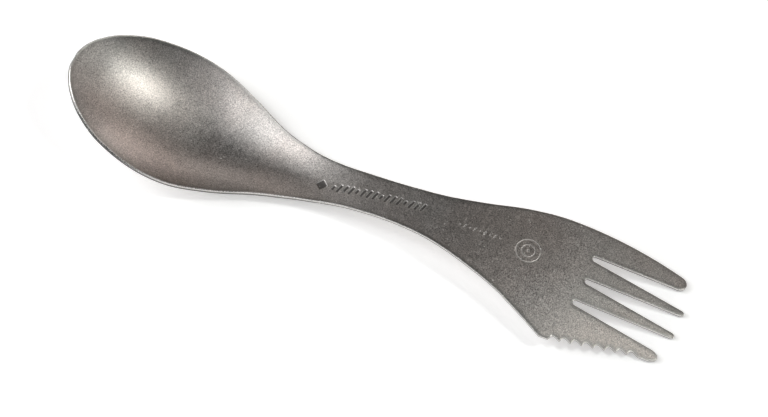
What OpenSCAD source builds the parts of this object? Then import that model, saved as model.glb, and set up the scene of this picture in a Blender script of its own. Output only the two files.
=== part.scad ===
// One-piece camping spork: a spoon bowl at one end and a four-tined fork with a serrated outer tine
// at the other, blanked and pressed from a single sheet of titanium.
// +X runs from the spoon tip to the tine tips, -Y is the serrated side, +Z is up,
// and the table that it rests on is z = 0.

/* [Overall] */
// Length from the upper edge of the spoon tip to the longest tine tips
overall_l = 169.4; // [160:0.2:180]
// Thickness of the sheet
sheet_t = 1; // [0.8:0.1:1.2]

/* [Spoon bowl] */
// Width across the bowl between the upper edges of its rim
bowl_w = 37.4; // [35:0.2:40]
// Depth of the bowl below its rim at the deepest section
bowl_depth = 6.1; // [5:0.1:6.2]
// Height of the rim at the spoon tip above the table
spoon_tip_h = 19.6; // [18:0.2:21]

/* [Handle] */
// Width at the waist, where the handle is narrowest
waist_w = 11.2; // [10:0.2:13]
// Height of the top of the handle's arch above the table
arch_h = 9.2; // [8.6:0.1:10]

/* [Fork] */
// Distance from the axis to the smooth outer edge, at its widest
smooth_side_w = 14.9; // [14:0.1:15.4]
// Distance from the axis to the corner where the serrated edge begins
knife_corner_w = 19.2; // [18.2:0.1:20.4]
// Length of the middle slot between the tines
slot_l = 26; // [24:0.5:26.5]
// Width of each slot at its round end
slot_root_w = 1.5; // [1.2:0.1:2]
// Width of each slot at the tine tips
slot_mouth_w = 5.4; // [4.6:0.1:5.8]
// Distance between the slots at their round ends
slot_pitch = 6.75; // [6.4:0.05:7]

/* [Serrations] */
// Number of teeth
tooth_count = 8; // [4:1:8]
// Distance between the teeth, along the axis
tooth_pitch = 2.76; // [2.5:0.02:2.8]
// Depth of each tooth
tooth_h = 1.2; // [0.6:0.1:1.4]

/* [Hidden] */

titanium = [0.52, 0.50, 0.47];

// The lists below count x from the spoon tip on a spork of this length, and are stretched to overall_l
listed_l = 170;
stretch = overall_l / listed_l;

// Where each zone of the sheet ends, as a distance from the spoon tip
bowl_end = 50 * stretch;
neck_end = 78 * stretch;
handle_end = 116 * stretch;
slot_root_x = overall_l - slot_l;
// The two outer slots reach this much closer to the handle than the middle one
side_slot_lead = 0.6;
palm_end = slot_root_x - side_slot_lead;
origin_x = overall_l / 2;

// Height of the rim, or of the top face where there is no trough: [distance from the spoon tip, height]
rim_heights = [
  [0, spoon_tip_h], [12, 14.8], [26, 10.1], [40, 6.5], [54, 4.35], [68, 4.7], [82, 7.4],
  [96, arch_h - 0.2], [110, arch_h], [124, 8.4], [138, 6.8], [154, 4], [listed_l, sheet_t],
];
trough_end = 80;
// Depth of the bowl and of the trough that runs out of it along the neck
trough_depths = [
  [0, 0], [3, 0.215 * bowl_depth], [8, 0.54 * bowl_depth], [15, 0.83 * bowl_depth],
  [22, 0.97 * bowl_depth], [30, 0.99 * bowl_depth], [38, 0.935 * bowl_depth], [46, 0.705 * bowl_depth],
  [54, 2.8], [62, 1.65], [72, 0.42], [trough_end, 0],
];
// Half-width of the bowl, the neck, the handle and the start of the fork
half_widths = [
  [0, 0], [3, 0.22 * bowl_w], [8, 0.35 * bowl_w], [15, 0.447 * bowl_w], [25, bowl_w / 2],
  [34, 0.487 * bowl_w], [44, 0.4 * bowl_w], [54, 0.284 * bowl_w], [64, 7.7], [74, 6.1],
  [84, waist_w / 2], [94, 5.8], [104, 6.9], [114, 9.3],
];
// Distance from the axis to the fork's two outer edges
smooth_side = concat(half_widths, [
  [124, 12.4], [132, 0.945 * smooth_side_w], [140, 0.99 * smooth_side_w], [148, smooth_side_w],
  [156, 0.97 * smooth_side_w], [164, 0.9 * smooth_side_w], [172, 0.79 * smooth_side_w],
]);
knife_corner_x = 139;
knife_side = concat(half_widths, [
  [124, 12.4], [132, 0.83 * knife_corner_w], [knife_corner_x, knife_corner_w], [146, 1.17 * knife_corner_w],
]);

// The section's exponent: round in the bowl, closer to a V along the neck
section_round = 2.15;
section_vee = 1.6;
vee_from = 32;
vee_to = 77;
// The fork is slightly crowned across its width: height lost per square millimetre from the axis
crown = 0.003;
crown_from = 100;
crown_to = 130;

// Smooth curve through the stations of a list, with each slope taken from the neighbouring stations
function station(list, x, i = 0) = i > len(list) - 3 || x < list[i + 1][0] ? i : station(list, x, i + 1);
function slope(list, i) =
  let (a = list[max(i - 1, 0)], b = list[min(i + 1, len(list) - 1)])
  (b[1] - a[1]) / (b[0] - a[0]);
function along(list, x) =
  let (
    i = station(list, x),
    run = list[i + 1][0] - list[i][0],
    t = (x - list[i][0]) / run,
    rise = list[i + 1][1] - list[i][1]
  )
  list[i][1] + rise * t * t * (3 - 2 * t)
  + run * t * (1 - t) * (slope(list, i) * (1 - t) - slope(list, i + 1) * t);
function squared(list) = [for (s = list) [s[0], s[1] * s[1]]];
function blend(from, to, x) =
  let (t = min(max((x - from) / (to - from), 0), 1))
  t * t * (3 - 2 * t);

// A half-width is interpolated by its square, which makes the spoon tip round
smooth_squares = squared(smooth_side);
knife_squares = squared(knife_side);
function smooth_edge(x) = sqrt(max(along(smooth_squares, x / stretch), 0));
function knife_blank_edge(x) = sqrt(max(along(knife_squares, x / stretch), 0));

// Teeth: each steps in steeply on the side of the tine tip, then runs back out along a gentle slope
corner_to_tooth = 2.6;
tooth_from_x = (knife_corner_x + corner_to_tooth) * stretch;
tooth_flank = 0.4;
tooth_back = [[0, 0], [tooth_flank, 0.86], [0.65, 1], [1, 0.95], [1.6, 0.68], [tooth_pitch, 0]];
teeth_end_x = tooth_from_x + tooth_count * tooth_pitch;
// The line through the teeth's tips closes on the axis, and less steeply on either side of the teeth
tooth_converge = 0.28;
blunt_converge = 0.1;
function tooth_line(x) =
  knife_corner_w - blunt_converge * (min(x, tooth_from_x) - knife_corner_x * stretch)
  - tooth_converge * (min(max(x, tooth_from_x), teeth_end_x) - tooth_from_x)
  - blunt_converge * max(x - teeth_end_x, 0);
// How far the edge steps in from that line
function tooth_cut(x) =
  let (n = floor((x - tooth_from_x) / tooth_pitch), run = x - tooth_from_x - n * tooth_pitch)
  x < tooth_from_x || x > teeth_end_x ? 0 : tooth_h * lookup(run, tooth_back);
function knife_edge(x) =
  x < knife_corner_x * stretch ? knife_blank_edge(x) : tooth_line(x) - tooth_cut(x);

// Height of the top face, and the point straight through the sheet below it
function section_power(x) =
  section_round + (section_vee - section_round) * blend(vee_from, vee_to, x / stretch);
function top_height(x, y) =
  let (s = x / stretch, side = min(abs(y) / max(smooth_edge(x), 0.01), 1))
  along(rim_heights, s)
  - (s < trough_end ? along(trough_depths, s) * (1 - pow(side, section_power(x))) : 0)
  - crown * blend(crown_from, crown_to, s) * y * y;
// Slopes are measured over this step
step = 0.02;
function lean(x, y) =
  let (yi = y > 0 ? y - step : y + step)
  [
    (top_height(x + step, yi) - top_height(x, yi)) / step,
    (top_height(x, yi) - top_height(x, y)) / (yi - y),
  ];
function under(x, y) =
  let (l = lean(x, y), reach = sheet_t / norm([l[0], l[1], 1]))
  [x + l[0] * reach, y + l[1] * reach, top_height(x, y) - reach];

// One zone of the sheet. rows holds [x, lowest y, highest y] from end to end, split across into cells.
module zone(rows, cells) {
  n = len(rows);
  w = cells + 1;
  function across(r, j) = r[1] + (r[2] - r[1]) * j / cells;
  top = [for (r = rows, j = [0:cells]) [r[0], across(r, j), top_height(r[0], across(r, j))]];
  bottom = [for (r = rows, j = [0:cells]) under(r[0], across(r, j))];
  b = n * w;
  function at(i, j) = i * w + j;
  function quad(p, q, r, s) = [[p, q, r], [p, r, s]];
  faces = [
    for (i = [0:n - 2], j = [0:cells - 1]) each quad(at(i, j), at(i, j + 1), at(i + 1, j + 1), at(i + 1, j)),
    for (i = [0:n - 2], j = [0:cells - 1])
      each quad(b + at(i, j), b + at(i + 1, j), b + at(i + 1, j + 1), b + at(i, j + 1)),
    for (i = [0:n - 2]) each quad(at(i, 0), at(i + 1, 0), b + at(i + 1, 0), b + at(i, 0)),
    for (i = [0:n - 2]) each quad(at(i, cells), b + at(i, cells), b + at(i + 1, cells), at(i + 1, cells)),
    for (j = [0:cells - 1]) each quad(at(0, j), b + at(0, j), b + at(0, j + 1), at(0, j + 1)),
    for (j = [0:cells - 1])
      each quad(at(n - 1, j), at(n - 1, j + 1), b + at(n - 1, j + 1), b + at(n - 1, j)),
  ];
  color(titanium) translate([-origin_x, 0, 0]) polyhedron(points = concat(top, bottom), faces = faces);
}
function even(from, to, n) = [for (i = [0:n]) from + (to - from) * i / n];

// Rows and cells that each zone is divided into, so that its curves stay smooth
bowl_rows = 28;
neck_rows = 14;
handle_rows = 14;
palm_rows = 12;
trough_cells = 22;
handle_cells = 10;
palm_cells = 16;
// The bowl's first row stands this far in from the spoon tip, and its rows crowd towards the tip
tip_inset = 0.12;
tip_crowding = 1.6;

module spoon_bowl() {
  xs = [for (t = even(0, 1, bowl_rows)) tip_inset + (bowl_end - tip_inset) * pow(t, tip_crowding)];
  zone([for (x = xs) [x, -smooth_edge(x), smooth_edge(x)]], trough_cells);
}
module neck() {
  zone([for (x = even(bowl_end, neck_end, neck_rows)) [x, -smooth_edge(x), smooth_edge(x)]], trough_cells);
}
module handle() {
  zone([for (x = even(neck_end, handle_end, handle_rows)) [x, -knife_edge(x), smooth_edge(x)]], handle_cells);
}
module fork_palm() {
  corner = knife_corner_x * stretch;
  teeth = [for (x = [tooth_from_x, tooth_from_x + tooth_flank]) if (x < palm_end) x];
  xs = concat(even(handle_end, corner, palm_rows), teeth, [palm_end]);
  zone([for (x = xs) [x, -knife_edge(x), smooth_edge(x)]], palm_cells);
}

// Slots: 0 is on the axis, 1 on the smooth side and -1 on the knife side. The outer two spread a little.
slot_spread = 0.005;
slot_root_r = slot_root_w / 2;
function slot_start(k) = slot_root_x - abs(k) * side_slot_lead;
function slot_middle(k, x) = k * (slot_pitch + slot_spread * (x - slot_start(k)));
function slot_half(k, x) =
  let (run = x - slot_start(k))
  run <= 0 ? 0
  : run < slot_root_r ? sqrt(slot_root_r * slot_root_r - (slot_root_r - run) * (slot_root_r - run))
  : slot_root_r + (slot_mouth_w / 2 - slot_root_r) * (run - slot_root_r) / (slot_l - slot_root_r);

// Tines count from the smooth side; number 4 is the knife tine. Each ends in a round tip.
tips = [0, overall_l - 2.3, overall_l, overall_l, overall_l - 1.7];
rounds = [0, 1.7, 1.1, 1.1, 2.4];
function tine_low(n, x) = n == 4 ? -knife_edge(x) : slot_middle(2 - n, x) + slot_half(2 - n, x);
function tine_high(n, x) = n == 1 ? smooth_edge(x) : slot_middle(3 - n, x) - slot_half(3 - n, x);
function closing(n, x) =
  let (run = max(x - tips[n] + rounds[n], 0) / rounds[n])
  sqrt(max(1 - run * run, 0));
function tine_row(n, x) =
  let (middle = (tine_low(n, x) + tine_high(n, x)) / 2, half = (tine_high(n, x) - tine_low(n, x)) / 2)
  [x, middle - half * closing(n, x), middle + half * closing(n, x)];

// Rows along a tine: close together round the slot's end and round the tip, and at each corner of a tooth
root_rows = 12;
blade_rows = 10;
tine_cells = 4;
row_gap = 1;
least_gap = 0.1;
tip_flat = 0.02;
tip_angles = [0:18:72];
root_end_x = palm_end + side_slot_lead + slot_root_r;
root_xs = even(palm_end, root_end_x, root_rows);
function tip_xs(n) =
  concat([for (a = tip_angles) tips[n] - rounds[n] + rounds[n] * sin(a)], [tips[n] - tip_flat]);
function blade_xs(n) = even(root_end_x + row_gap, tips[n] - rounds[n] - row_gap, blade_rows);
tooth_xs = [
  for (t = [0:tooth_count - 1], point = tooth_back)
    let (x = tooth_from_x + t * tooth_pitch + point[0])
    if (point[0] < tooth_pitch && x > root_end_x + least_gap) x,
  teeth_end_x,
];
module tine(n) {
  xs = concat(root_xs, n == 4 ? tooth_xs : blade_xs(n), tip_xs(n));
  zone([for (x = xs) tine_row(n, x)], tine_cells);
}
module tine_1() tine(1);
module tine_2() tine(2);
module tine_3() tine(3);
module knife_tine() tine(4);

spoon_bowl();
neck();
handle();
fork_palm();
tine_1();
tine_2();
tine_3();
knife_tine();
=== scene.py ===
import math

import bpy
import numpy as np
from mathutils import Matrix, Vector
from mathutils.geometry import delaunay_2d_cdt


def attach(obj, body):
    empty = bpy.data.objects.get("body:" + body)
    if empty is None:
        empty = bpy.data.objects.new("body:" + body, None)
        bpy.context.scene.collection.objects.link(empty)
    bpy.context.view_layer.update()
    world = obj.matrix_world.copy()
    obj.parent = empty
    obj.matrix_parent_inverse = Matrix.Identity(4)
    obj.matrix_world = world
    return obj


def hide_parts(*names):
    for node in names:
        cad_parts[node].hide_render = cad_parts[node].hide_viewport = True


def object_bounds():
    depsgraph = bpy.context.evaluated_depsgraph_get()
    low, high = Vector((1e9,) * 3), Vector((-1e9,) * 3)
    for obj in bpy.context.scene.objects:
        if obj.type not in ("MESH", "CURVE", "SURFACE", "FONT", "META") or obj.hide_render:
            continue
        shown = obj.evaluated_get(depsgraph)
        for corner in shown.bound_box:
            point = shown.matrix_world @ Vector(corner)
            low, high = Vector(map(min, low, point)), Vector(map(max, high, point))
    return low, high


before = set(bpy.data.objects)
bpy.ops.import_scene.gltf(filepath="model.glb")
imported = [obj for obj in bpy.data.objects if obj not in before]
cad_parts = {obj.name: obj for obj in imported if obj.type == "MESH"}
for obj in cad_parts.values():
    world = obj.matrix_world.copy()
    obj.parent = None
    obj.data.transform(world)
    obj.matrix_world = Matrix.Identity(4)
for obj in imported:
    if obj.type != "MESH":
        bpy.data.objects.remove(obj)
cad_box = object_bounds()

# One continuous skin replaces the eight CAD zones of the spork. Its sizes are those of the CAD source.
MM = 0.001
ZONES = ["spoon_bowl", "neck", "handle", "fork_palm", "tine_1", "tine_2", "tine_3", "knife_tine"]

# ---------------------------------------------------------------- the sheet's form, in millimetres
# x runs from the upper edge of the spoon tip, and the frame's origin is half a length further on.
overall_l = 169.4
sheet_t = 1.0
bowl_w = 37.4
bowl_depth = 6.1
spoon_tip_h = 19.6
waist_w = 11.2
arch_h = 9.2
smooth_side_w = 14.9
knife_corner_w = 19.2
slot_l = 26.0
slot_root_w = 1.5
slot_mouth_w = 5.4
slot_pitch = 6.75
slot_root_r = slot_root_w / 2
slot_spread = 0.005
side_slot_lead = 0.6
tooth_count = 8
tooth_pitch = 2.76
tooth_h = 1.2

# The lists below count x on a spork of this length, and are stretched to overall_l.
listed_l = 170
stretch = overall_l / listed_l
origin_x = overall_l / 2
slot_root_x = overall_l - slot_l
trough_end = 80

# Height of the rim, or of the top face where there is no trough: (x, height).
rim_heights = np.array([
    (0, spoon_tip_h), (12, 14.8), (26, 10.1), (40, 6.5), (54, 4.35), (68, 4.7), (82, 7.4),
    (96, arch_h - 0.2), (110, arch_h), (124, 8.4), (138, 6.8), (154, 4), (listed_l, sheet_t),
])
# Depth of the bowl and of the trough that runs out of it along the neck.
trough_depths = np.array([
    (0, 0), (3, 0.215 * bowl_depth), (8, 0.54 * bowl_depth), (15, 0.83 * bowl_depth),
    (22, 0.97 * bowl_depth), (30, 0.99 * bowl_depth), (38, 0.935 * bowl_depth), (46, 0.705 * bowl_depth),
    (54, 2.8), (62, 1.65), (72, 0.42), (trough_end, 0),
])
# Half-width of the bowl, the neck, the handle and the start of the fork, then each side of the fork.
half_widths = [
    (0, 0), (3, 0.22 * bowl_w), (8, 0.35 * bowl_w), (15, 0.447 * bowl_w), (25, bowl_w / 2),
    (34, 0.487 * bowl_w), (44, 0.4 * bowl_w), (54, 0.284 * bowl_w), (64, 7.7), (74, 6.1),
    (84, waist_w / 2), (94, 5.8), (104, 6.9), (114, 9.3),
]
smooth_side = np.array(half_widths + [
    (124, 12.4), (132, 0.945 * smooth_side_w), (140, 0.99 * smooth_side_w), (148, smooth_side_w),
    (156, 0.97 * smooth_side_w), (164, 0.9 * smooth_side_w), (172, 0.79 * smooth_side_w),
])
knife_corner_x = 139
knife_side = np.array(half_widths + [
    (124, 12.4), (132, 0.83 * knife_corner_w), (knife_corner_x, knife_corner_w),
    (146, 1.17 * knife_corner_w),
])

# The section's exponent: round in the bowl, closer to a V along the neck.
section_round = 2.15
section_vee = 1.6
vee_from = 32
vee_to = 77
# The fork is slightly crowned: height lost per square millimetre from the axis.
crown = 0.003
crown_from = 100
crown_to = 130


def along(stations, x):
    """The smooth curve through the stations, with each slope taken from the neighbouring stations."""
    sx, sy = stations[:, 0], stations[:, 1]
    last = len(sx) - 1
    before, after = np.maximum(np.arange(last + 1) - 1, 0), np.minimum(np.arange(last + 1) + 1, last)
    slope = (sy[after] - sy[before]) / (sx[after] - sx[before])
    i = np.clip(np.searchsorted(sx, x, side="right") - 1, 0, last - 1)
    run = sx[i + 1] - sx[i]
    t = (x - sx[i]) / run
    rise = sy[i + 1] - sy[i]
    return (
        sy[i] + rise * t * t * (3 - 2 * t)
        + run * t * (1 - t) * (slope[i] * (1 - t) - slope[i + 1] * t)
    )


def ease(a, b, x):
    """0 up to a, 1 from b on, and a smooth step between them."""
    t = np.clip((x - a) / (b - a), 0, 1)
    return t * t * (3 - 2 * t)


def edge(stations, x):
    """A half-width, interpolated by its square, which makes the spoon tip round."""
    squares = np.column_stack([stations[:, 0], stations[:, 1] ** 2])
    return np.sqrt(np.maximum(along(squares, x / stretch), 0))


def smooth_edge(x):
    return edge(smooth_side, x)


# Teeth: each steps in steeply on the side of the tine tip, then runs back out along a gentle slope.
corner_to_tooth = 2.6
tooth_from_x = (knife_corner_x + corner_to_tooth) * stretch
teeth_end_x = tooth_from_x + tooth_count * tooth_pitch
# The line through the teeth's tips closes on the axis, and less steeply on either side of the teeth.
tooth_converge = 0.28
blunt_converge = 0.1
tooth_back = np.array([(0, 0), (0.4, 0.86), (0.65, 1), (1, 0.95), (1.6, 0.68), (tooth_pitch, 0)])


def knife_edge(x):
    """Distance from the axis to the serrated side."""
    corner = knife_corner_x * stretch
    line = (
        knife_corner_w - blunt_converge * (np.minimum(x, tooth_from_x) - corner)
        - tooth_converge * (np.clip(x, tooth_from_x, teeth_end_x) - tooth_from_x)
        - blunt_converge * np.maximum(x - teeth_end_x, 0)
    )
    run = np.mod(x - tooth_from_x, tooth_pitch)
    toothed = (x >= tooth_from_x) & (x <= teeth_end_x)
    cut = np.where(toothed, tooth_h * np.interp(run, tooth_back[:, 0], tooth_back[:, 1]), 0)
    return np.where(x < corner, edge(knife_side, np.minimum(x, corner)), line - cut)


def top_height(x, y):
    """Height of the top face above the table."""
    s = x / stretch
    side = np.minimum(np.abs(y) / np.maximum(smooth_edge(x), 0.01), 1)
    power = section_round - (section_round - section_vee) * ease(vee_from, vee_to, s)
    trough = np.where(s < trough_end, along(trough_depths, np.minimum(s, trough_end)), 0)
    crowning = crown * ease(crown_from, crown_to, s) * y * y
    return along(rim_heights, s) - trough * (1 - side ** power) - crowning


def surface(x, y):
    """Points on the top face and its unit normals."""
    step = 0.02
    inward = np.where(y > 0, -step, step)
    z = top_height(x, y)
    slope_x = (top_height(x + step, y + inward) - top_height(x, y + inward)) / step
    slope_y = (top_height(x, y + inward) - z) / inward
    normal = np.column_stack([-slope_x, -slope_y, np.ones_like(x)])
    normal /= np.linalg.norm(normal, axis=1)[:, None]
    return np.column_stack([x, y, z]), normal


# ---------------------------------------------------------------- the blank's outline
# Tines and slots are counted from the smooth side: four tines, and slots 1, 0 and -1 between them.
tips = [overall_l - 2.3, overall_l, overall_l, overall_l - 1.7]
rounds = [1.7, 1.1, 1.1, 2.4]
# The outline starts this far inside the CAD's spoon tip, and its points crowd together up to bend_end.
tip_inset = 0.15
bend_end = 8


def slot_start(k):
    return slot_root_x - abs(k) * side_slot_lead


def slot_middle(k, x):
    return k * (slot_pitch + slot_spread * (x - slot_start(k)))


def slot_half(k, x):
    """Half the slot's width: a round end, then a straight taper out to the mouth."""
    run = x - slot_start(k)
    root = np.sqrt(np.maximum(slot_root_r ** 2 - (slot_root_r - np.clip(run, 0, slot_root_r)) ** 2, 0))
    taper = (slot_mouth_w / 2 - slot_root_r) * (run - slot_root_r) / (slot_l - slot_root_r)
    return np.where(run < slot_root_r, root, slot_root_r + taper)


def tine_low(n, x):
    """The tine's edge on the serrated side."""
    if n == 3:
        return -knife_edge(x)
    return slot_middle(1 - n, x) + slot_half(1 - n, x)


def tine_high(n, x):
    """The tine's edge on the smooth side."""
    if n == 0:
        return smooth_edge(x)
    return slot_middle(2 - n, x) - slot_half(2 - n, x)


def tine_end(n):
    """The round end of a tine, from its upper edge in the plan round to its lower edge."""
    a = np.linspace(math.pi / 2, -math.pi / 2, 121)
    x = tips[n] - rounds[n] + rounds[n] * np.cos(a)
    middle = (tine_low(n, x) + tine_high(n, x)) / 2
    half = (tine_high(n, x) - tine_low(n, x)) / 2
    return np.column_stack([x, middle + half * np.sin(a)])


def run_x(a, b, step=0.05):
    """Even steps from a to b, in either direction."""
    return np.linspace(a, b, max(int(abs(b - a) / step), 2))


def blank_outline():
    """The closed outline of the flat blank, clockwise from the spoon tip along the smooth side."""
    bend_in = tip_inset + np.linspace(0, 1, 400) ** 2 * (bend_end - tip_inset)
    x = np.concatenate([bend_in[:-1], run_x(bend_end, tips[0] - rounds[0])])
    parts = [np.column_stack([x, smooth_edge(x)])]
    for n in range(4):
        parts.append(tine_end(n))
        if n < 3:
            k = 1 - n
            root = slot_start(k)
            x = run_x(tips[n] - rounds[n], root + slot_root_r)
            parts.append(np.column_stack([x, slot_middle(k, x) + slot_half(k, x)]))
            a = np.linspace(math.pi / 2, 3 * math.pi / 2, 61)
            x = root + slot_root_r + slot_root_r * np.cos(a)
            parts.append(np.column_stack([x, slot_middle(k, x) + slot_root_r * np.sin(a)]))
            x = run_x(root + slot_root_r, tips[n + 1] - rounds[n + 1])
            parts.append(np.column_stack([x, slot_middle(k, x) - slot_half(k, x)]))
    x = run_x(tips[3] - rounds[3], bend_end)
    parts.append(np.column_stack([x, -knife_edge(x)]))
    parts.append(np.column_stack([bend_in[::-1], -smooth_edge(bend_in[::-1])]))
    loop = np.concatenate(parts)
    keep = np.linalg.norm(loop - np.roll(loop, 1, axis=0), axis=1) > 1e-5
    return loop[keep]


def resample(loop, spacing):
    """Points along a closed loop, spaced as spacing(x, y) says."""
    closed = np.vstack([loop, loop[:1]])
    step = np.linalg.norm(np.diff(closed, axis=0), axis=1)
    middle = (closed[1:] + closed[:-1]) / 2
    weight = np.concatenate([[0], np.cumsum(step / spacing(middle[:, 0], middle[:, 1]))])
    at = np.linspace(0, weight[-1], int(round(weight[-1])) + 1)[:-1]
    return np.column_stack([np.interp(at, weight, closed[:, 0]), np.interp(at, weight, closed[:, 1])])


def soften(loop, rounds_of_smoothing, where):
    """Rounds the small corners of a closed loop, as tumbling does."""
    for _ in range(rounds_of_smoothing):
        average = (np.roll(loop, 1, axis=0) + np.roll(loop, -1, axis=0) + 2 * loop) / 4
        loop = np.where(where(loop)[:, None], average, loop)
    return loop


knife_side_y = -10
close_spacing = 0.12
wide_spacing = 0.4


def outline_spacing(x, y):
    """Points stand closer where the outline bends sharply: round the teeth, the slots' ends and the tips."""
    near_teeth = (y < knife_side_y) & (x > knife_corner_x - 3)
    near_roots = (x > slot_root_x - 2) & (x < slot_root_x + 2) & (np.abs(y) < 8.5)
    near_tips = x > overall_l - 5
    return np.where(near_teeth | near_roots | near_tips, close_spacing, wide_spacing)


def plan_outline():
    fine = resample(blank_outline(), lambda x, y: np.full_like(x, 0.04))
    fine = soften(fine, 30, lambda p: (p[:, 1] < knife_side_y) & (p[:, 0] > knife_corner_x - 4))
    return resample(fine, outline_spacing)


def inside(points, loop):
    """Even-odd test of many points against a closed loop."""
    a, b = loop, np.roll(loop, -1, axis=0)
    result = np.zeros(len(points), bool)
    for start in range(0, len(points), 4000):
        p = points[start:start + 4000]
        px, py = p[:, 0:1], p[:, 1:2]
        spans = (a[:, 1] > py) != (b[:, 1] > py)
        with np.errstate(divide="ignore", invalid="ignore"):
            cross = a[:, 0] + (py - a[:, 1]) * (b[:, 0] - a[:, 0]) / (b[:, 1] - a[:, 1])
        result[start:start + 4000] = (np.sum(spans & (px < cross), axis=1) % 2) == 1
    return result


def distance_to(points, loop):
    """Distance of many points to the nearest point of a finely divided loop."""
    result = np.empty(len(points))
    for start in range(0, len(points), 2000):
        p = points[start:start + 2000]
        gap = (p[:, None, 0] - loop[None, :, 0]) ** 2 + (p[:, None, 1] - loop[None, :, 1]) ** 2
        result[start:start + 2000] = np.sqrt(gap.min(axis=1))
    return result


# ---------------------------------------------------------------- the stamped marks
# Plain bars, dashes and rings. Each is a rounded box (x, y, half length, half width, corner radius, turn)
# or a ring (x, y, radius, half width), with the depth of its floor. x counts from the frame's origin.
bar_depth = 0.08
line_depth = 0.065
mark_wall = 0.16
mark_guard = 0.1


def stamped_marks():
    """A lozenge with a row of slanted bars, a row of small dashes, and two rings round a dot."""
    lean = math.radians(72)
    marks = [("box", (-14.3, -1.1, 1.25, 1.25, 0.25, math.radians(47)), bar_depth)]
    for i in range(16):
        run = 1.62 * i
        half_l = 1.35 if i % 4 else 0.8
        marks.append(("box", (run - 10.9, -1.1 + 0.085 * (run - 0.3), half_l, 0.46, 0.26, lean), bar_depth))
    for i in range(9):
        run = 1.36 * i
        half_l = 0.75 if i % 2 else 0.3
        marks.append(("box", (23.9 + run, 0.3 + 0.05 * run, half_l, 0.24, 0.2, lean), line_depth))
    ring_x, ring_y = 42.6, 0.8
    marks.append(("ring", (ring_x, ring_y, 3.2, 0.2), line_depth))
    marks.append(("ring", (ring_x, ring_y, 1.7, 0.2), line_depth))
    marks.append(("box", (ring_x, ring_y, 0.5, 0.5, 0.5, 0), line_depth))
    return marks


def mark_distance(mark, x, y):
    """Signed distance to a mark's edge, negative inside it."""
    kind, size, _ = mark
    if kind == "ring":
        return np.abs(np.hypot(x - size[0], y - size[1]) - size[2]) - size[3]
    cx, cy, half_l, half_w, corner, turn = size
    u = np.abs((x - cx) * math.cos(turn) + (y - cy) * math.sin(turn)) - half_l + corner
    v = np.abs(-(x - cx) * math.sin(turn) + (y - cy) * math.cos(turn)) - half_w + corner
    return np.hypot(np.maximum(u, 0), np.maximum(v, 0)) + np.minimum(np.maximum(u, v), 0) - corner


def mark_loops(mark, step=0.14):
    """Closed loops round a mark: a guard outside it, its edge, and the foot of its wall."""
    kind, size, _ = mark
    loops = []
    if kind == "ring":
        cx, cy, radius, half = size
        for grow in (mark_guard, 0, -mark_wall):
            for r in (radius + half + grow, radius - half - grow):
                a = np.linspace(0, 2 * math.pi, max(int(2 * math.pi * r / step), 12), endpoint=False)
                loops.append(np.column_stack([cx + r * np.cos(a), cy + r * np.sin(a)]))
        return loops
    cx, cy, half_l, half_w, corner, turn = size
    for grow in (mark_guard, 0, -mark_wall):
        bend = max(corner + grow, 0.02)
        straight_l, straight_w = half_l + grow - bend, half_w + grow - bend
        quarter = np.linspace(0, math.pi / 2, 6)
        corners = []
        for q, (side_x, side_y) in enumerate([(1, 1), (-1, 1), (-1, -1), (1, -1)]):
            t = quarter + q * math.pi / 2
            corners.append(np.column_stack([
                side_x * straight_l + bend * np.cos(t), side_y * straight_w + bend * np.sin(t),
            ]))
        p = resample(np.concatenate(corners), lambda x, y: np.full_like(x, step))
        loops.append(np.column_stack([
            cx + p[:, 0] * math.cos(turn) - p[:, 1] * math.sin(turn),
            cy + p[:, 0] * math.sin(turn) + p[:, 1] * math.cos(turn),
        ]))
    return loops


def mark_sink(marks, x, y):
    """How far the marks sink the top face. x counts from the frame's origin."""
    sink = np.zeros_like(x)
    for mark in marks:
        sink = np.maximum(sink, mark[2] * ease(0, mark_wall, -mark_distance(mark, x, y)))
    return sink


# Small scuffs and nicks, each from one end to the other: (x, y, x, y, half width).
scuffs = [
    (8.2, 5.3, 9.4, 5.6, 0.16), (10.8, 2.6, 12.6, 0.9, 0.13), (-42.5, 13.6, -42.3, 13.8, 0.2),
    (50.6, -10.2, 53.4, -11.6, 0.12), (52.4, 8.9, 53.5, 8.3, 0.16), (41.8, -7.4, 42.8, -6.9, 0.14),
    (29.6, -8.3, 29.8, -8.0, 0.2), (47.6, -12.6, 48.3, -12.2, 0.14),
]


def scuff_strength(x, y):
    """How strongly the scuffs mark the skin. x counts from the frame's origin."""
    strength = np.zeros_like(x)
    for ax, ay, bx, by, half in scuffs:
        run = np.array([bx - ax, by - ay])
        t = np.clip(((x - ax) * run[0] + (y - ay) * run[1]) / (run @ run), 0, 1)
        away = np.hypot(x - ax - t * run[0], y - ay - t * run[1])
        strength = np.maximum(strength, np.exp(-(away / half) ** 2))
    return strength


# ---------------------------------------------------------------- the skin
# The sheet's edges are rounded by edge_round in edge_steps steps above and below. The flat faces get
# triangles grid_step apart, which keep clear of the outline and of the marks by the two gaps.
edge_round = 0.22
edge_steps = 5
grid_step = 0.5
boundary_gap = 0.3
mark_gap = 0.16
# How far in from the outline the edge wear reaches. The same tone paints the edge's highlight and the dark
# line of shade where it fades.
wear_and_highlight_reach = 0.3


def inset_ring(point, outward, loop):
    """The loop drawn in by the edge's radius, evened out where it would cross itself."""
    inner = (point - outward * edge_round)[:, :2]
    along_out = np.roll(loop, -1, axis=0) - loop
    for _ in range(40):
        along_in = np.roll(inner, -1, axis=0) - inner
        turned = np.sum(along_in * along_out, axis=1) < 0.2 * np.sum(along_out ** 2, axis=1)
        turned = turned | np.roll(turned, 1) | np.roll(turned, -1)
        if not turned.any():
            break
        average = (np.roll(inner, 1, axis=0) + np.roll(inner, -1, axis=0)) / 2
        inner = np.where(turned[:, None], average, inner)
    return inner


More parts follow.
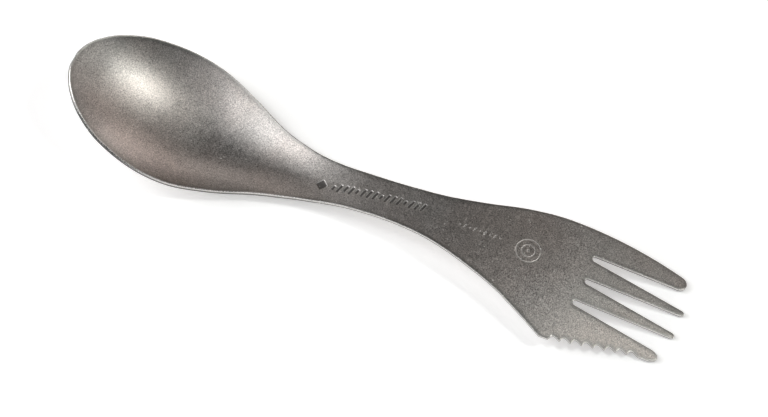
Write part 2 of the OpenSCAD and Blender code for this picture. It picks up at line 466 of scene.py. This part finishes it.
def plan_points(inner, marks):
    """The plan's points, and the edges that its triangles must keep: those of the ring and the marks."""
    loops = [inner]
    for mark in marks:
        for loop in mark_loops(mark):
            loops.append(loop + np.array([origin_x, 0]))
    points, edges, start = [], [], 0
    for loop in loops:
        count = len(loop)
        points.append(loop)
        edges += [(start + i, start + (i + 1) % count) for i in range(count)]
        start += count
    row = grid_step * math.sqrt(3) / 2
    low, high = inner.min(axis=0), inner.max(axis=0)
    rows = np.arange(low[1], high[1], row)
    columns = np.arange(low[0], high[0], grid_step)
    grid = np.concatenate([
        np.column_stack([columns + (i % 2) * grid_step / 2, np.full_like(columns, y)])
        for i, y in enumerate(rows)
    ])
    grid = grid[inside(grid, inner)]
    grid = grid[distance_to(grid, inner) > boundary_gap]
    near = np.ones(len(grid), bool)
    mark_points = np.concatenate(loops[1:])
    close = (grid[:, 0] > mark_points[:, 0].min() - 1) & (grid[:, 0] < mark_points[:, 0].max() + 1)
    near[close] = distance_to(grid[close], mark_points) > mark_gap
    points.append(grid[near])
    return np.concatenate(points), edges, len(inner)


def triangulate(points, edges, ring_size):
    """Triangles of the plan, its vertices, and which of them the ring's points became."""
    coords = [Vector((float(x), float(y))) for x, y in points]
    out, _, faces, origins, _, _ = delaunay_2d_cdt(coords, edges, [], 1, 1e-7)
    plan = np.array([(v.x, v.y) for v in out])
    ring = np.zeros(ring_size, int)
    for j, sources in enumerate(origins):
        for s in sources:
            if s < ring_size:
                ring[s] = j
    faces = np.array([list(f) for f in faces])
    a, b, c = plan[faces[:, 0]], plan[faces[:, 1]], plan[faces[:, 2]]
    turn = (b[:, 0] - a[:, 0]) * (c[:, 1] - a[:, 1]) - (b[:, 1] - a[:, 1]) * (c[:, 0] - a[:, 0])
    faces[turn < 0] = faces[turn < 0][:, ::-1]
    return plan, faces[np.abs(turn) > 1e-9], ring


def build_skin():
    """The whole sheet as one closed mesh: top face with its marks, rounded edges, and underside.

    Its attributes are where the material is worn and painted bright as a highlight, stamped, scuffed, or
    painted dark with shade on the lower half of an edge and round the underside's border.
    """
    marks = stamped_marks()
    loop = plan_outline()
    point, normal = surface(loop[:, 0], loop[:, 1])
    travel = np.roll(point, -1, axis=0) - np.roll(point, 1, axis=0)
    travel /= np.linalg.norm(travel, axis=1)[:, None]
    outward = np.cross(normal, travel)
    inner = inset_ring(point, outward, loop)
    points, edges, ring_size = plan_points(inner, marks)
    plan, faces, ring = triangulate(points, edges, ring_size)

    face_point, face_normal = surface(plan[:, 0], plan[:, 1])
    sink = mark_sink(marks, plan[:, 0] - origin_x, plan[:, 1])
    top = face_point - face_normal * sink[:, None]
    bottom = face_point - face_normal * sheet_t
    count = len(plan)

    reach = point - face_point[ring]
    rings = []
    for k in range(1, edge_steps + 1):
        a = math.pi / 2 * k / edge_steps
        drop = edge_round * (1 - math.cos(a))
        rings.append(face_point[ring] + reach * math.sin(a) - normal * drop)
    for k in range(edge_steps, 0, -1):
        a = math.pi / 2 * k / edge_steps
        drop = edge_round * (1 - math.cos(a))
        rings.append(bottom[ring] + reach * math.sin(a) + normal * drop)

    verts = np.concatenate([top, bottom] + rings)
    verts[:, 0] -= origin_x
    chain = [ring] + [2 * count + k * ring_size + np.arange(ring_size) for k in range(len(rings))]
    chain.append(count + ring)
    quads = []
    for upper, lower in zip(chain[:-1], chain[1:]):
        quads.append(np.column_stack([upper, lower, np.roll(lower, -1), np.roll(upper, -1)]))
    quads = np.concatenate(quads)
    polygons = faces.tolist() + (faces[:, ::-1] + count).tolist() + quads[:, ::-1].tolist()

    mesh = bpy.data.meshes.new("spork")
    mesh.from_pydata((verts * MM).tolist(), [], polygons)
    mesh.validate()
    mesh.shade_smooth()

    # Worn edges, painted bright: a painted highlight on the top rounding and a painted reflection on the
    # sheet's side, besides real wear that makes them smoother.
    border_wear_and_highlight = np.exp(-distance_to(plan, loop) / wear_and_highlight_reach)
    ring_wear_and_highlight = [0.5, 0.7] + [1] * (2 * edge_steps - 2)
    # Painted shade on the lower half of each edge, from the foot of the top rounding down.
    ring_below = [0] * (edge_steps - 1) + [0.3] + [1] * edge_steps
    stamp, scuff = np.zeros(len(verts)), np.zeros(len(verts))
    stamp[:count] = sink / bar_depth
    scuff[:count] = 0.7 * scuff_strength(plan[:, 0] - origin_x, plan[:, 1])
    tones = {
        "wear_and_painted_highlight": np.concatenate([border_wear_and_highlight, border_wear_and_highlight, np.repeat(ring_wear_and_highlight, ring_size)]),
        "stamp": stamp,
        "scuff": scuff,
        "below": np.concatenate([np.zeros(count), np.ones(count), np.repeat(ring_below, ring_size)]),
    }
    for name, values in tones.items():
        attribute = mesh.attributes.new(name, "FLOAT", "POINT")
        attribute.data.foreach_set("value", values.astype(np.float32))
    skin = bpy.data.objects.new("spork", mesh)
    bpy.context.scene.collection.objects.link(skin)
    return skin


# ---------------------------------------------------------------- materials
class Nodes:
    """Short calls for a material's nodes."""

    def __init__(self, name):
        self.material = bpy.data.materials.new(name)
        self.material.use_nodes = True
        self.tree = self.material.node_tree
        self.shader = self.tree.nodes["Principled BSDF"]

    def add(self, kind, inputs=None, **settings):
        node = self.tree.nodes.new(kind)
        for key, value in settings.items():
            setattr(node, key, value)
        for key, value in (inputs or {}).items():
            if isinstance(value, bpy.types.NodeSocket):
                self.tree.links.new(value, node.inputs[key])
            else:
                node.inputs[key].default_value = value
        return node

    def math(self, operation, a, b=0.0, clamp=False):
        return self.add("ShaderNodeMath", {0: a, 1: b}, operation=operation, use_clamp=clamp).outputs[0]

    def spread(self, value, low, high, to_low=0.0, to_high=1.0):
        """The value mapped from low..high to to_low..to_high, and held at those two ends."""
        inputs = {"Value": value, "From Min": low, "From Max": high, "To Min": to_low, "To Max": to_high}
        return self.add("ShaderNodeMapRange", inputs).outputs["Result"]

    def noise(self, where, scale, detail=2.0, roughness=0.5):
        inputs = {"Vector": where, "Scale": scale, "Detail": detail, "Roughness": roughness}
        return self.add("ShaderNodeTexNoise", inputs).outputs["Fac"]

    def mix(self, factor, a, b):
        node = self.add("ShaderNodeMix", data_type="RGBA")
        for key, value in ((0, factor), (6, a), (7, b)):
            if isinstance(value, bpy.types.NodeSocket):
                self.tree.links.new(value, node.inputs[key])
            else:
                node.inputs[key].default_value = value
        return node.outputs[2]

    def attribute(self, name):
        return self.add("ShaderNodeAttribute", attribute_name=name).outputs["Fac"]

    def millimetres(self):
        place = self.add("ShaderNodeTexCoord").outputs["Object"]
        return self.add("ShaderNodeVectorMath", {0: place, "Scale": 1 / MM}, operation="SCALE").outputs[0]

    def set(self, socket, value):
        if isinstance(value, bpy.types.NodeSocket):
            self.tree.links.new(value, self.shader.inputs[socket])
        else:
            self.shader.inputs[socket].default_value = value


def blasted_titanium():
    """Matte grey metal with a fine grain, bright specks painted as glints, worn edges painted bright as a
    highlight with a painted dark line of shade just inside them and painted shade on their lower half, and
    dark floors in the marks with walls painted lighter as a highlight.
    """
    n = Nodes("blasted_titanium")
    place = n.millimetres()
    grain = n.noise(place, 3.3, 3.0, 0.7)
    fine = n.noise(place, 5.5, 2.0, 0.6)
    blotch = n.noise(place, 0.5, 3.0, 0.6)
    cloud = n.noise(place, 0.04, 2.0, 0.5)
    # Bright specks: painted glints of single grains.
    specks = n.noise(place, 2.3, 1.0, 0.4)
    wear_and_painted_highlight = n.attribute("wear_and_painted_highlight")
    stamp = n.attribute("stamp")
    scuff = n.attribute("scuff")
    below = n.attribute("below")

    cool, warm = (0.492, 0.474, 0.458, 1), (0.513, 0.472, 0.448, 1)
    colour = n.mix(n.spread(cloud, 0.4, 0.62), cool, warm)
    shade = n.math("ADD", n.spread(grain, 0.3, 0.7, 0.36, 1.64), n.spread(blotch, 0.3, 0.7, -0.08, 0.08))
    # Painted shade: a dark line at the start of each edge's rounding, where the wear fades in.
    painted_edge_shade = n.math("MULTIPLY", n.math("MULTIPLY", wear_and_painted_highlight, n.math("SUBTRACT", 1.0, wear_and_painted_highlight)), 4.0)
    shade = n.math("MULTIPLY", shade, n.spread(painted_edge_shade, 0, 1, 1.0, 0.35))
    shade_colour = n.add("ShaderNodeCombineXYZ", {0: shade, 1: shade, 2: shade}).outputs[0]
    colour = n.add("ShaderNodeVectorMath", {0: colour, 1: shade_colour}, operation="MULTIPLY").outputs[0]
    # Worn edges painted bright: real wear, plus a painted highlight on the rounding and a painted reflection
    # on the side.
    colour = n.mix(n.math("MULTIPLY", wear_and_painted_highlight, 0.75), colour, (0.9, 0.88, 0.85, 1))
    # Painted shade: the lower half of each edge and the underside's border go nearly black.
    painted_under_shade_amount = n.math("MULTIPLY", n.math("MULTIPLY", below, wear_and_painted_highlight), 0.95)
    colour = n.mix(painted_under_shade_amount, colour, (0.05, 0.048, 0.046, 1))
    colour = n.mix(n.math("MULTIPLY", stamp, 0.95), colour, (0.12, 0.115, 0.11, 1))
    # Painted highlight on the marks' walls and painted glints at the bright specks; the scuffs are real
    # wear. All three are painted lighter.
    halfway = n.math("MULTIPLY", stamp, n.math("SUBTRACT", 1.0, stamp))
    outline = n.math("MULTIPLY", halfway, 2.4, clamp=True)
    bright = n.math("MAXIMUM", n.math("MULTIPLY", outline, 0.7), n.spread(specks, 0.7, 0.76))
    bright = n.math("MAXIMUM", bright, scuff)
    colour = n.mix(bright, colour, (0.8, 0.79, 0.76, 1))
    n.set("Base Color", colour)
    n.set("Metallic", 1.0)

    rough = n.math("ADD", n.spread(grain, 0.3, 0.7, 0.34, 0.42), n.spread(blotch, 0.3, 0.7, -0.02, 0.02))
    rough = n.math("SUBTRACT", rough, n.math("MULTIPLY", wear_and_painted_highlight, 0.12))
    rough = n.math("ADD", rough, n.math("MULTIPLY", bright, 0.2))
    n.set("Roughness", n.math("ADD", rough, n.math("MULTIPLY", stamp, 0.08), clamp=True))

    height = n.math("ADD", grain, n.math("MULTIPLY", fine, 0.6))
    bump = n.add("ShaderNodeBump", {"Strength": 0.55, "Distance": 0.00005, "Height": height})
    n.set("Normal", bump.outputs["Normal"])
    return n.material


def pale_paper():
    """The table: nearly white, and lit a little from within so that it stays pale."""
    n = Nodes("pale_paper")
    place = n.millimetres()
    tone = n.noise(place, 0.02, 2.0)
    n.set("Base Color", n.mix(tone, (0.93, 0.93, 0.93, 1), (0.95, 0.95, 0.95, 1)))
    n.set("Roughness", 0.9)
    n.set("Specular IOR Level", 0.1)
    n.set("Emission Color", (1, 1, 1, 1))
    n.set("Emission Strength", 0.33)
    return n.material


# ---------------------------------------------------------------- stage, lights and camera
def make_floor():
    mesh = bpy.data.meshes.new("floor")
    half = 3.0
    z = cad_box[0][2]
    corners = [(-half, -half, z), (half, -half, z), (half, half, z), (-half, half, z)]
    mesh.from_pydata(corners, [], [(0, 1, 2, 3)])
    floor = bpy.data.objects.new("floor", mesh)
    bpy.context.scene.collection.objects.link(floor)
    mesh.materials.append(pale_paper())


def area_light(name, azimuth, elevation, distance, size, watts, colour=(1, 1, 1)):
    """A soft box that faces the object, placed as a camera would be by azimuth and elevation."""
    data = bpy.data.lights.new(name, "AREA")
    data.shape = "DISK"
    data.size = size
    data.energy = watts
    data.color = colour
    light = bpy.data.objects.new(name, data)
    a, e = math.radians(azimuth), math.radians(elevation)
    place = Vector((math.sin(a) * math.cos(e), -math.cos(a) * math.cos(e), math.sin(e))) * distance
    light.location = place
    light.rotation_euler = place.to_track_quat("Z", "Y").to_euler()
    bpy.context.scene.collection.objects.link(light)


def make_lights():
    """Soft boxes round the object: (azimuth, elevation, size in metres, watts, colour)."""
    distance = 1.2
    plain, cream = (1, 1, 1), (0.99, 1.01, 0.97)
    cool, warm = (0.98, 1.0, 1.01), (1.1, 0.98, 0.92)
    boxes = {
        "key_left": (285, 26, 0.9, 8.2, plain),
        "key_left_high": (270, 42, 0.4, 1.75, plain),
        "near_low": (15, 9, 0.8, 2.6, plain),
        "right_low": (85, 12, 0.3, 0.9, plain),
        "right_high": (106, 55, 0.24, 3.5, cream),
        "left_high": (288, 56, 0.3, 1.1, cool),
        "near_left_high": (324, 56, 0.3, 1.15, cool),
        "near_high": (0, 56, 0.3, 0.45, plain),
        "top_near": (0, 79, 0.3, 0.4, cool),
        "top_left": (288, 79, 0.3, 0.3, plain),
        "far_high": (154, 60, 0.3, 0.04, plain),
        "far_right": (135, 26, 0.5, 0.5, warm),
        "far_low": (169, 14, 0.16, 0.5, warm),
        "far": (165, 28, 0.5, 0.45, warm),
        "far_left": (195, 28, 0.5, 0.6, warm),
        "left_far": (225, 24, 0.5, 0.35, warm),
    }
    for name, (azimuth, elevation, size, watts, colour) in boxes.items():
        area_light(name, azimuth, elevation, distance, size, watts, colour)
    world = bpy.data.worlds.new("studio")
    bpy.context.scene.world = world
    world.use_nodes = True
    world.node_tree.nodes["Background"].inputs["Color"].default_value = (0, 0, 0, 1)


def make_camera():
    """Seen from the near long side, a little to the right, and from well above."""
    azimuth, elevation, distance = math.radians(23.8), math.radians(61.3), 0.8
    data = bpy.data.cameras.new("camera")
    data.sensor_width = 36.0
    data.lens = 146.0
    camera = bpy.data.objects.new("camera", data)
    level = math.cos(elevation)
    away = Vector((math.sin(azimuth) * level, -math.cos(azimuth) * level, math.sin(elevation)))
    turn = away.to_track_quat("Z", "Y")
    right, up = turn @ Vector((1, 0, 0)), turn @ Vector((0, 1, 0))
    middle_h, shift_right, shift_down = 8.0 * MM, 2.6 * MM, 3.6 * MM
    aim = Vector((0, 0, middle_h)) + right * shift_right - up * shift_down
    camera.location = aim + away * distance
    camera.rotation_euler = turn.to_euler()
    bpy.context.scene.collection.objects.link(camera)
    bpy.context.scene.camera = camera


make_camera()
make_lights()
make_floor()
spork = build_skin()
spork.data.materials.append(blasted_titanium())
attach(spork, "root")
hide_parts(*ZONES)
bpy.context.scene.view_settings.view_transform = "Standard"
